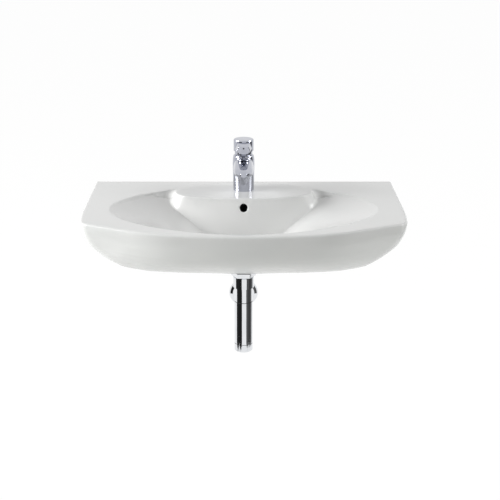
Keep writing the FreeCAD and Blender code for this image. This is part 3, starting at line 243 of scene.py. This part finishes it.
across = glaze.node("ShaderNodeMath", {"operation": "ABSOLUTE"}, {0: glaze.axis("X")})
off_axis = glaze.node("ShaderNodeVectorMath", {"operation": "LENGTH"}, {
    0: glaze.node("ShaderNodeCombineXYZ", None, {0: across, 1: glaze.axis("Z") - MOUTH_Z})}, result="Value")
before_back = 1 - past(from_wall, CHANNEL_BACK_Y)
mouth = (1 - off_axis.over(MOUTH_R, MOUTH_R + MOUTH_SOFT)) * before_back * past(from_wall, BORE_START_Y)
upright = past(from_wall, CHANNEL_FRONT_Y) * before_back * (1 - past(across, CHANNEL_HALF))
upright = upright * (1 - past(glaze.axis("Z"), CHANNEL_TOP_Z))
# the mask of painted shade over both bores, which also takes the coat away there
bore_shade_mask = mouth + upright * (1 - mouth)
glaze.feed(Base_Color=glaze.blend(bore_shade_mask, glaze.blend(bare, glass, clay), PAINTED_BORE_SHADE))
glaze.feed(Coat_Weight=0.18 * (1 - bare) * (1 - bore_shade_mask))
print("overflow dark from", BORE_START_Y, "to", CHANNEL_BACK_Y)

# %% [markdown]
# ## Chrome
# Chrome plate is a mirror with the faint smear of the last wipe. Real studio chrome looks dark and bright in
# bands because it mirrors lamps and black cards, so most of its looks come from what stands round it. The
# material adds only a little haze that comes and goes. The tap's plate is cooler and darker than the
# trap's, so one function makes both.


# %% Chrome
def plated(name, light, dark, per_metre, smoothest):
    """Chrome whose colour and haze drift between two values."""
    finish = Finish(name, Metallic=1.0)
    wiped = finish.cloud(per_metre, 3.0, 0.6)
    finish.feed(Base_Color=finish.blend(wiped.over(0.3, 0.75), light, dark))
    finish.feed(Roughness=smoothest + 0.05 * wiped.over(0.5, 0.85))
    finish.bumps(finish.cloud(160, 1.0), 0.00005, 0.15)
    return finish


chrome = plated(
    "chrome_finish", (0.80, 0.81, 0.83, 1), (0.74, 0.755, 0.78, 1), per_metre=45, smoothest=0.035)
tap_chrome = plated(
    "tap_chrome_finish", (0.49, 0.50, 0.555, 1), (0.43, 0.445, 0.50, 1), per_metre=60, smoothest=0.05)
print("two chromes")

# %% [markdown]
# ## The hidden metals
# What a fitter handles isn't polished: zinc plate has a spangled, slightly brushed look, and turned brass
# shows its fine grooves. Each gets the pattern of how it was made, at its true scale, from a Voronoi and a
# Wave texture.

# %% Plated steel and brass
steel = Finish("plated_steel_finish", Metallic=1.0)
spangle = steel.node("ShaderNodeTexVoronoi", None, {"Vector": steel.place, "Scale": 900.0}, result="Color")
plate = steel.blend(steel.cloud(120, 2.0), (0.60, 0.61, 0.64, 1), (0.70, 0.69, 0.66, 1))
steel.feed(Base_Color=steel.blend(0.12, plate, spangle))
steel.feed(Roughness=0.24 + 0.16 * steel.cloud(300, 2.0))
steel.bumps(steel.cloud(1400, 2.0), 0.00005, 0.3)

brass = Finish("brass_finish", Metallic=1.0)
turning = brass.node("ShaderNodeTexWave", {"bands_direction": "Z"}, {
    "Vector": brass.place, "Scale": 900.0, "Distortion": 0.6, "Detail": 1.0})
brass.feed(Base_Color=brass.blend(brass.cloud(90, 3.0), (0.78, 0.60, 0.30, 1), (0.66, 0.47, 0.22, 1)))
brass.feed(Roughness=0.2 + 0.12 * turning)
brass.bumps(turning, 0.00004, 0.4)
print("plated steel, brass")

# %% [markdown]
# ## Rubber, plastic, the cartridge's discs and the button
# Rubber is matt with a greyish bloom, moulded plastic has a soft grain, and the discs are lapped ceramic,
# which is finely mottled and nearly smooth. The index button is a dark moulding under a clear skin.

# %% Rubber, plastic, lapped ceramic and the index button
rubber = Finish("rubber_finish", Specular_IOR_Level=0.35)
bloom = rubber.cloud(160, 4.0, 0.65)
rubber.feed(Base_Color=rubber.blend(bloom.over(0.45, 0.8), (0.022, 0.022, 0.024, 1), (0.06, 0.06, 0.062, 1)))
rubber.feed(Roughness=0.62 + 0.2 * bloom)
rubber.bumps(rubber.cloud(2200, 2.0), 0.00008, 0.4)

plastic = Finish("white_plastic_finish", IOR=1.49)
grain = plastic.node("ShaderNodeTexVoronoi", None, {"Vector": plastic.place, "Scale": 2600.0})
plastic.feed(Base_Color=plastic.blend(plastic.cloud(60, 2.0), (0.80, 0.80, 0.77, 1), (0.74, 0.745, 0.72, 1)))
plastic.feed(Roughness=0.38 + 0.14 * grain)
plastic.bumps(grain, 0.00006, 0.3)

lapped = Finish("disc_ceramic_finish", IOR=1.7)
lapped.feed(Base_Color=lapped.blend(lapped.cloud(1500, 3.0), (0.72, 0.71, 0.68, 1), (0.63, 0.62, 0.59, 1)))
lapped.feed(Roughness=0.18 + 0.1 * lapped.cloud(700, 2.0))

button = Finish("index_button_finish", Coat_Weight=0.7, Coat_Roughness=0.04)
button.feed(Base_Color=button.blend(button.cloud(900, 2.0), (0.030, 0.031, 0.036, 1), (0.05, 0.05, 0.058, 1)))
button.feed(Roughness=0.22 + 0.1 * button.cloud(1200, 2.0))
print("rubber, plastic, discs, button")

# %% [markdown]
# ## Each node takes its slot's finish
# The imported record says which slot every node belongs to, so one short table is enough. The tap's outside
# pieces take the cooler plate.

# %% Dress the nodes
FINISH_OF = {
    "glazed_ceramic": glaze, "chrome": chrome, "plated_steel": steel, "brass": brass, "rubber": rubber,
    "white_plastic": plastic, "disc_ceramic": lapped, "index_red": button,
}
TAP_NODES = ("tap_body", "lever", "dome", "aerator_housing")
slot_of = {part["node"]: part["material_slot"] for part in frame["record"]["subparts"]}
for name, node in nodes.items():
    node.data.materials.clear()
    finish = tap_chrome if name in TAP_NODES else FINISH_OF[slot_of[name]]
    node.data.materials.append(finish.material)
print({slot: list(slot_of.values()).count(slot) for slot in FINISH_OF})

# %% [markdown]
# ## The ceramic's soft forms
# Slip casting gives a form that ovals lofted in the engineering model only come near: two long, shallow wings
# that fall into a deeper middle, and a full belly under a soft crease. Modelling it afresh would lose the
# seats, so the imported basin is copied, its big faces are split until they are small, and each point is moved.
# First comes the wanted form. Each table lists ovals from the top down, as drop, half width and half depth.
# The bowl's numbers are shares of its whole size. Smoothing the tables keeps a row from showing as a bend.

# %% Tables of ovals
RIM_Z = 0.072
PLATFORM_Z = 0.077
BOWL_HALF_W = 0.335
BOWL_HALF_D = 0.216
BOWL_MIDDLE_Y = -0.247
BOWL_DEPTH = 0.128
FLOOR_FURTHER = 0.015  # by which the floor's middle lies further from the wall than the mouth's
BULGE_MIDDLE_Y = -0.112
BOWL_ROWS = (
    (0, 1, 1), (0.10, 0.865, 0.92), (0.20, 0.73, 0.835), (0.31, 0.61, 0.74), (0.43, 0.515, 0.665),
    (0.56, 0.43, 0.575), (0.72, 0.345, 0.485), (0.85, 0.28, 0.40), (0.94, 0.23, 0.335), (0.985, 0.19, 0.285),
    (1, 0.15, 0.225),
)
BULGE_ROWS = (
    (0, 0.178, 0.069), (0.025, 0.188, 0.078), (0.055, 0.200, 0.086), (0.095, 0.214, 0.093),
    (0.140, 0.230, 0.100),
)
LEVELS = 160
SMOOTH_LEVELS = 21


def smooth_columns(rows):
    """A table's columns, resampled evenly and smoothed by a bell that slides along them."""
    table = np.array(rows, dtype=float)
    at = np.linspace(0, 1, len(table))
    bell = np.hanning(SMOOTH_LEVELS + 2)[1:-1]
    half = SMOOTH_LEVELS // 2
    columns = []
    for column in table.T:
        line = np.interp(even, at, column)
        ends = (2 * line[0] - line[half:0:-1], line, 2 * line[-1] - line[-2:-half - 2:-1])
        columns.append(np.convolve(np.concatenate(ends), bell / bell.sum(), mode="valid"))
    return columns


even = np.linspace(0, 1, LEVELS)
bowl_drop, bowl_w, bowl_d = smooth_columns(BOWL_ROWS)
bulge_drop, bulge_w, bulge_d = smooth_columns(BULGE_ROWS)
print("bowl and bulge tables", LEVELS, "levels")

# %% [markdown]
# ## From ovals to a height
# An oval of two tip arcs and two long arcs is easy to test: a point's distance from one circle says whether
# it lies inside. To find the height at a place, the level whose oval runs through it is closed in on by
# halving. The bowl and the bulge are two such forms, and the higher one shows, with a soft valley where they
# meet.

# %% Heights
BOWL_TIP_SHARE = 0.68  # a tip's radius, of the oval's half depth
BOWL_TIP_WIDEST = 0.95  # and of its half width, at most
RIM_LEVEL = 0.02  # above this level
RIM_TIP_MOST = 0.12  # a tip's radius is no larger than this
BULGE_TIP_R = 0.050
VALLEY_SOFT = 0.022
HALVINGS = 22
FAR_BELOW = -1.0
SAME_HEIGHT = 1e-5


def beyond_oval(across, along, half_w, half_d, tip):
    """How far points lie outside an oval made of two tip arcs and two long arcs."""
    long_r = ((half_w - tip) ** 2 + half_d**2 - tip**2) / (2 * (half_d - tip))
    join = np.arctan2(long_r - half_d, half_w - tip)
    at_tip = np.arctan2(along, across - (half_w - tip)) < join
    round_tip = np.hypot(across - (half_w - tip), along) - tip
    round_long = np.hypot(across, along + long_r - half_d) - long_r
    return np.where(at_tip, round_tip, round_long)


def beyond_bowl(points, level):
    """How far points lie outside the bowl at a level from 0, the rim, to 1, the floor."""
    half_w = BOWL_HALF_W * np.interp(level, even, bowl_w)
    half_d = BOWL_HALF_D * np.interp(level, even, bowl_d)
    sunk = np.interp(level, even, bowl_drop)
    along = np.abs(points[:, 1] - BOWL_MIDDLE_Y + FLOOR_FURTHER * sunk)
    tip = np.minimum(BOWL_TIP_SHARE * half_d, BOWL_TIP_WIDEST * half_w)
    tip = np.where(level < RIM_LEVEL, np.minimum(tip, RIM_TIP_MOST), tip)
    return beyond_oval(np.abs(points[:, 0]), along, half_w, half_d, tip)


def beyond_bulge(points, level):
    """The same for the bulge, which grows as it goes down, so its levels count from its foot."""
    half_w, half_d = np.interp(1 - level, even, bulge_w), np.interp(1 - level, even, bulge_d)
    front = np.maximum(BULGE_MIDDLE_Y - points[:, 1], 0)
    return beyond_oval(np.abs(points[:, 0]), front, half_w, half_d, BULGE_TIP_R)


def level_at(points, beyond):
    """The level from 0 to 1 whose oval runs through each point."""
    low, high = np.zeros(len(points)), np.ones(len(points))
    for _ in range(HALVINGS):
        middle = (low + high) / 2
        outside = beyond(points, middle) > 0
        low, high = np.where(outside, low, middle), np.where(outside, middle, high)
    return (low + high) / 2


def wanted_height(points):
    """The height of deck, bowl and bulge at each place, and whether the place is beside the bulge."""
    bowl = RIM_Z - BOWL_DEPTH * np.interp(level_at(points, beyond_bowl), even, bowl_drop)
    bulge = PLATFORM_Z - np.interp(1 - level_at(points, beyond_bulge), even, bulge_drop)
    beside = beyond_bulge(points, np.zeros(len(points))) > 0
    bulge = np.where(beside, FAR_BELOW, bulge)
    bend = np.maximum(VALLEY_SOFT - np.abs(bowl - bulge), 0) / VALLEY_SOFT
    soft = bend * bend * VALLEY_SOFT / 4
    return np.maximum(bowl, bulge) + soft * (bowl < RIM_Z - SAME_HEIGHT), beside


floor_point = np.array([[0.0, BOWL_MIDDLE_Y - FLOOR_FURTHER]])
print("floor at", wanted_height(floor_point)[0].round(4), "m")

# %% [markdown]
# ## Which faces show
# The copy's loose triangles are welded first. A face belongs to the top, which is the deck and the bowl, if a
# ray straight up from it meets nothing. It belongs to the side, which is the apron and the belly, if a ray
# that goes forwards and down, to the left or to the right meets nothing. The rest is out of sight: the back,
# the recess, the bores and the room inside the casting. A tree of the solid's faces makes those rays quick.

# %% Copy, weld and look around
WELD = 1e-6
OFF_SURFACE = 2e-5
FACES_UP = 0.02
BACK_BAND_Y = -0.02
UP = Vector((0, 0, 1))
AHEAD = Vector((0, -0.8, -0.6))
TO_RIGHT = Vector((0.85, -0.4, -0.35)).normalized()
TO_LEFT = Vector((-TO_RIGHT.x, TO_RIGHT.y, TO_RIGHT.z))

work = bmesh.new()
work.from_mesh(nodes["basin"].data)
bmesh.ops.remove_doubles(work, verts=work.verts, dist=WELD)
bmesh.ops.triangulate(work, faces=work.faces)
solid = BVHTree.FromBMesh(work)


def face_side(face):
    """top, side or hidden"""
    middle = face.calc_center_median()

    def sees(direction):
        start = middle + face.normal * OFF_SURFACE + direction * OFF_SURFACE
        return solid.ray_cast(start, direction)[0] is None

    if face.normal.z > FACES_UP and sees(UP):
        return "top"
    if middle.y < BACK_BAND_Y and (sees(AHEAD) or sees(TO_RIGHT) or sees(TO_LEFT)):
        return "side"
    return "hidden"


print("welded to", len(work.verts), "points")

# %% [markdown]
# ## Splitting what shows
# A flat deck comes as a few huge triangles, and a bend can only show where there are points. So every edge
# that is too long for its place is halved, again and again. An edge loop is cut along the crease first, so
# that the crease stays crisp. The platform's flat top needs fewer points.

# %% Split
CREASE_Z = 0.004
TOP_EDGE = 0.0075
SIDE_EDGE = 0.016
PLATFORM_EDGE = 0.02
PLATFORM_BAND = 5e-4
SPLIT_PASSES = 9
LONGEST_EDGE = {"top": TOP_EDGE, "side": SIDE_EDGE, "hidden": math.inf}


def longest_edge(face):
    """The longest edge that a face may keep."""
    side = face_side(face)
    if side == "top" and face.calc_center_median().z > PLATFORM_Z - PLATFORM_BAND:
        return PLATFORM_EDGE
    return LONGEST_EDGE[side]


def to_triangles():
    bmesh.ops.triangulate(work, faces=[face for face in work.faces if len(face.verts) > 3])


bmesh.ops.bisect_plane(work, geom=list(work.verts) + list(work.edges) + list(work.faces),
                       plane_co=(0, 0, CREASE_Z), plane_no=UP)
to_triangles()
for _ in range(SPLIT_PASSES):
    work.normal_update()
    allowed = {face: longest_edge(face) for face in work.faces}
    too_long = [edge for edge in work.edges
                if any(edge.calc_length() > allowed[face] for face in edge.link_faces)]
    if not too_long:
        break
    bmesh.ops.subdivide_edges(work, edges=too_long, cuts=1)
    to_triangles()
print("split to", len(work.faces), "triangles")

# %% [markdown]
# ## Sorting the points
# Points take the side of their faces. A sliver of a face has no sure normal, so a point also counts as top
# if a ray that falls from the sky lands on it.

# %% Sort the points
SKY_Z = 0.3
LANDED_WITHIN = 0.0004

work.normal_update()
work.verts.ensure_lookup_table()
points_of = {"top": set(), "side": set(), "hidden": set()}
for face in work.faces:
    points_of[face_side(face)].update(point.index for point in face.verts)
for point in work.verts:
    landed = solid.ray_cast(Vector((point.co.x, point.co.y, SKY_Z)), -UP)[0]
    if landed is not None and abs(landed.z - point.co.z) < LANDED_WITHIN:
        points_of["top"].add(point.index)
top_points = sorted(points_of["top"])
side_points = sorted(points_of["side"] - points_of["top"])


def smooth(value, low, high):
    """0 below low, 1 above high, and smooth between them."""
    share = np.clip((value - low) / (high - low), 0, 1)
    return share * share * (3 - 2 * share)


def places_of(indices):
    return np.array([work.verts[i].co[:] for i in indices])


print({side: len(points) for side, points in points_of.items()}, "and", len(side_points), "only on the side")

# %% [markdown]
# ## The bowl takes its form
# Each top point inside the mouth goes straight up or down to the wanted height. How far it goes fades out
# round the drain, the overflow, the platform's brow and behind the bulge's middle, so all seats stay as
# modelled.

# %% Move the bowl
MOUTH_MARGIN = 0.007
DRAIN_Y = -0.262
FREE_FROM_DRAIN = (0.036, 0.050)
FREE_FROM_OVERFLOW = (0.020, 0.045)
OVERFLOW_WALL_Y = -0.222
BROW = (0.050, 0.068)
DECK_BAND = 1e-4

places = places_of(top_points)
height, beside_bulge = wanted_height(places[:, :2])
share = smooth(np.hypot(places[:, 0], places[:, 1] - DRAIN_Y), *FREE_FROM_DRAIN)
at_wall = places[:, 1] > OVERFLOW_WALL_Y
share = share * np.where(at_wall, smooth(np.abs(places[:, 0]), *FREE_FROM_OVERFLOW), 1.0)
share = share * np.where(places[:, 2] > RIM_Z + DECK_BAND, 0.0, 1.0)
share = share * np.where(beside_bulge, 1.0, 1 - smooth(places[:, 2], *BROW))
share = share * np.where(places[:, 1] > BULGE_MIDDLE_Y, 0.0, 1.0)
in_mouth = beyond_bowl(places[:, :2], np.zeros(len(places))) < MOUTH_MARGIN
for i, z, free in zip(top_points, places[:, 2] + (height - places[:, 2]) * share, in_mouth):
    if free:
        work.verts[i].co.z = z
print(int(in_mouth.sum()), "points in the mouth")

# %% [markdown]
# ## The apron and the belly
# Side points near the crease are pushed outwards, away from the wall's middle, which steepens the apron and
# marks the crease. Under the crease the flanks sink a little, for a fuller belly. Both fade out towards the
# wall and the ends.

# %% Push the apron and sink the belly
CREASE_PUSH = 0.007
CREASE_ABOVE = 0.045
CREASE_BELOW = 0.040
PUSH_FROM_WALL = (0.04, 0.20)
PUSH_ENDS = (0.27, 0.36)
SINK_BELOW = 0.05
SINK_FROM_WALL = (0.20, 0.30)
SINK_AT = (0.0, 0.10, 0.17, 0.24, 0.30, 0.35, 0.38)  # this far sideways from the middle
SINK = (0.0, 0.001, 0.005, 0.012, 0.012, 0.004, 0.0)  # the flank sinks by this much

places = places_of(side_points)
sideways, out_from_wall = np.abs(places[:, 0]), -places[:, 1]
under_crease = CREASE_Z - places[:, 2]
above = 1 - np.clip(-under_crease / CREASE_ABOVE, 0, 1)
below = 1 - smooth(under_crease, 0, CREASE_BELOW)
push = CREASE_PUSH * np.where(under_crease < 0, above, below) * smooth(out_from_wall, *PUSH_FROM_WALL)
push = push * (1 - smooth(sideways, *PUSH_ENDS))
sink = np.interp(sideways, SINK_AT, SINK) * smooth(under_crease, 0, SINK_BELOW)
sink = sink * smooth(out_from_wall, *SINK_FROM_WALL)
reach = np.hypot(places[:, 0], places[:, 1])
for i, (x, y, z), out, far, down in zip(side_points, places, push, reach, sink):
    work.verts[i].co = (x + x / far * out, y + y / far * out, z - down)
print("pushed by up to", push.max().round(4), "m, sunk by up to", sink.max().round(4), "m")

# %% [markdown]
# ## The finished ceramic
# The moved points become a mesh of their own. All faces are shaded smooth, and edges with a clear bend are
# marked sharp again. The piece rides on the wall's body and is shown in place of the imported basin, which
# stays in place, hidden. The piece rides on the wall's body and stands for the imported basin, which stays
# in place for collision only.

# %% Make the piece
SHARP_FROM = math.radians(28)

for face in work.faces:
    face.smooth = True
shell_mesh = bpy.data.meshes.new("basin_ceramic")
work.to_mesh(shell_mesh)
work.free()
shell_mesh.validate()
shell_mesh.materials.append(glaze.material)
shell_mesh.set_sharp_from_angle(angle=SHARP_FROM)
ceramic = bpy.data.objects.new("basin_ceramic", shell_mesh)
bpy.context.scene.collection.objects.link(ceramic)
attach(ceramic, "basin_on_wall")
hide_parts("basin")
print("ceramic", len(shell_mesh.polygons), "triangles")

# %% [markdown]
# ## The floor and the air
# The floor is a plain pale sheet far below the basin, where a bathroom's floor would be. For a camera ray or
# a mirrored ray it is mostly bright paper, so the picture's ground is white, but a part of its real shade
# stays, and with it the basin's shadow. The world does the same: it lights the basin weakly, and is white
# where it is seen.

# %% Floor and world
FLOOR_Z = -0.80
FLOOR_HALF = 60.0
PAPER_SHADE = (0.76, 0.77, 0.75, 1)
PAPER_LEVEL = 1.04
PAPER_SHARE = 0.93
WORLD_LEVEL = 0.28


def seen(tree):
    """1 for rays that come from the camera, a mirror or glass, and 0 for the rest."""
    path = tree.nodes.new("ShaderNodeLightPath")
    total = path.outputs["Is Camera Ray"]
    for ray in ("Is Glossy Ray", "Is Transmission Ray"):
        add = tree.nodes.new("ShaderNodeMath")
        add.operation = "MAXIMUM"
        tree.links.new(total, add.inputs[0])
        tree.links.new(path.outputs[ray], add.inputs[1])
        total = add.outputs[0]
    return total


paper = bpy.data.materials.new("studio_paper")
paper.use_nodes = True
tree = paper.node_tree
tree.nodes.clear()
out = tree.nodes.new("ShaderNodeOutputMaterial")
mix = tree.nodes.new("ShaderNodeMixShader")
matt = tree.nodes.new("ShaderNodeBsdfDiffuse")
matt.inputs["Color"].default_value = PAPER_SHADE
bright = tree.nodes.new("ShaderNodeEmission")
bright.inputs["Strength"].default_value = PAPER_LEVEL
share = tree.nodes.new("ShaderNodeMath")
share.operation = "MULTIPLY"
share.inputs[1].default_value = PAPER_SHARE
tree.links.new(seen(tree), share.inputs[0])
tree.links.new(share.outputs[0], mix.inputs[0])
tree.links.new(matt.outputs[0], mix.inputs[1])
tree.links.new(bright.outputs[0], mix.inputs[2])
tree.links.new(mix.outputs[0], out.inputs["Surface"])

CORNERS = ((-1, -1), (1, -1), (1, 1), (-1, 1))
sheet = bpy.data.meshes.new("floor")
sheet.from_pydata([(x * FLOOR_HALF, y * FLOOR_HALF, FLOOR_Z) for x, y in CORNERS], [], [(0, 1, 2, 3)])
sheet.materials.append(paper)
floor = bpy.data.objects.new("floor", sheet)
bpy.context.scene.collection.objects.link(floor)

world = bpy.data.worlds.new("studio_air")
world.use_nodes = True
bpy.context.scene.world = world
tree = world.node_tree
air = tree.nodes["Background"]
air.inputs["Color"].default_value = (1, 1, 1, 1)
level = tree.nodes.new("ShaderNodeMapRange")
level.inputs["To Min"].default_value = WORLD_LEVEL
level.inputs["To Max"].default_value = 1.0
tree.links.new(seen(tree), level.inputs["Value"])
tree.links.new(level.outputs[0], air.inputs["Strength"])
print("floor at", FLOOR_Z)

# %% [markdown]
# ## The lamps
# Two big soft boxes stand far off on the left and the right, close to the wall's own plane. They graze the
# front, so its bends show as slow changes of tone. The left one is the stronger, so the bowl's right wing,
# which faces it, is bright, and its left one is in half shade.

# %% Lamps
BASIN_MIDDLE = (0, -0.25, 0)


def lamp(name, place, size, watts):
    """A soft box at place that faces the basin."""
    light = bpy.data.lights.new(name, "AREA")
    light.shape = "RECTANGLE"
    light.size, light.size_y = size
    light.energy = watts
    holder = bpy.data.objects.new(name, light)
    holder.location = place
    holder.rotation_euler = (Vector(BASIN_MIDDLE) - Vector(place)).to_track_quat("-Z", "Y").to_euler()
    bpy.context.scene.collection.objects.link(holder)


lamp("left_lamp", (-4.6, -1.0, 1.6), (2.6, 1.8), 235)
lamp("right_lamp", (4.6, -0.7, 2.3), (2.4, 2.0), 110)
print("two lamps")

# %% [markdown]
# ## Black cards for the chrome
# A photographer sets black cards beside chrome to draw its edges. Upright ones stand round the trap, and
# leave a gap in front of it, which becomes the bright stripe down its middle. Only mirrors see them: they
# shade nothing, and the camera looks through them. The table gives each card's two angles round the trap, in
# degrees, and its shade.

# %% Cards
CARD_FAR = 1.2
CARD_TOP = 0.4
CARDS = (
    ("left_card", -94, -56, 0.02), ("left_front_card", -56, -20, 0.015),
    ("right_front_card", 34, 62, 0.10), ("right_card", 62, 90, 0.05), ("right_back_card", 90, 119, 0.13),
)


def card_material(name, shade):
    """A plain glow of that shade."""
    dark = bpy.data.materials.new(name)
    dark.use_nodes = True
    dark.node_tree.nodes.clear()
    out = dark.node_tree.nodes.new("ShaderNodeOutputMaterial")
    glow = dark.node_tree.nodes.new("ShaderNodeEmission")
    glow.inputs["Color"].default_value = (shade, shade, shade, 1)
    dark.node_tree.links.new(glow.outputs[0], out.inputs["Surface"])
    return dark


def upright_card(name, from_deg, to_deg, shade):
    """A card between two compass angles round the trap, 0 towards the camera and 90 to the right."""
    turns = (math.radians(from_deg), math.radians(to_deg))
    left, right = [(CARD_FAR * math.sin(turn), DRAIN_Y - CARD_FAR * math.cos(turn)) for turn in turns]
    corners = [(*left, FLOOR_Z), (*right, FLOOR_Z), (*right, CARD_TOP), (*left, CARD_TOP)]
    face = bpy.data.meshes.new(name)
    face.from_pydata(corners, [], [(0, 1, 2, 3)])
    face.materials.append(card_material(name, shade))
    holder = bpy.data.objects.new(name, face)
    bpy.context.scene.collection.objects.link(holder)
    holder.visible_camera = False
    holder.visible_diffuse = False
    holder.visible_shadow = False


for name, from_deg, to_deg, shade in CARDS:
    upright_card(name, from_deg, to_deg, shade)
print(len(CARDS), "cards")
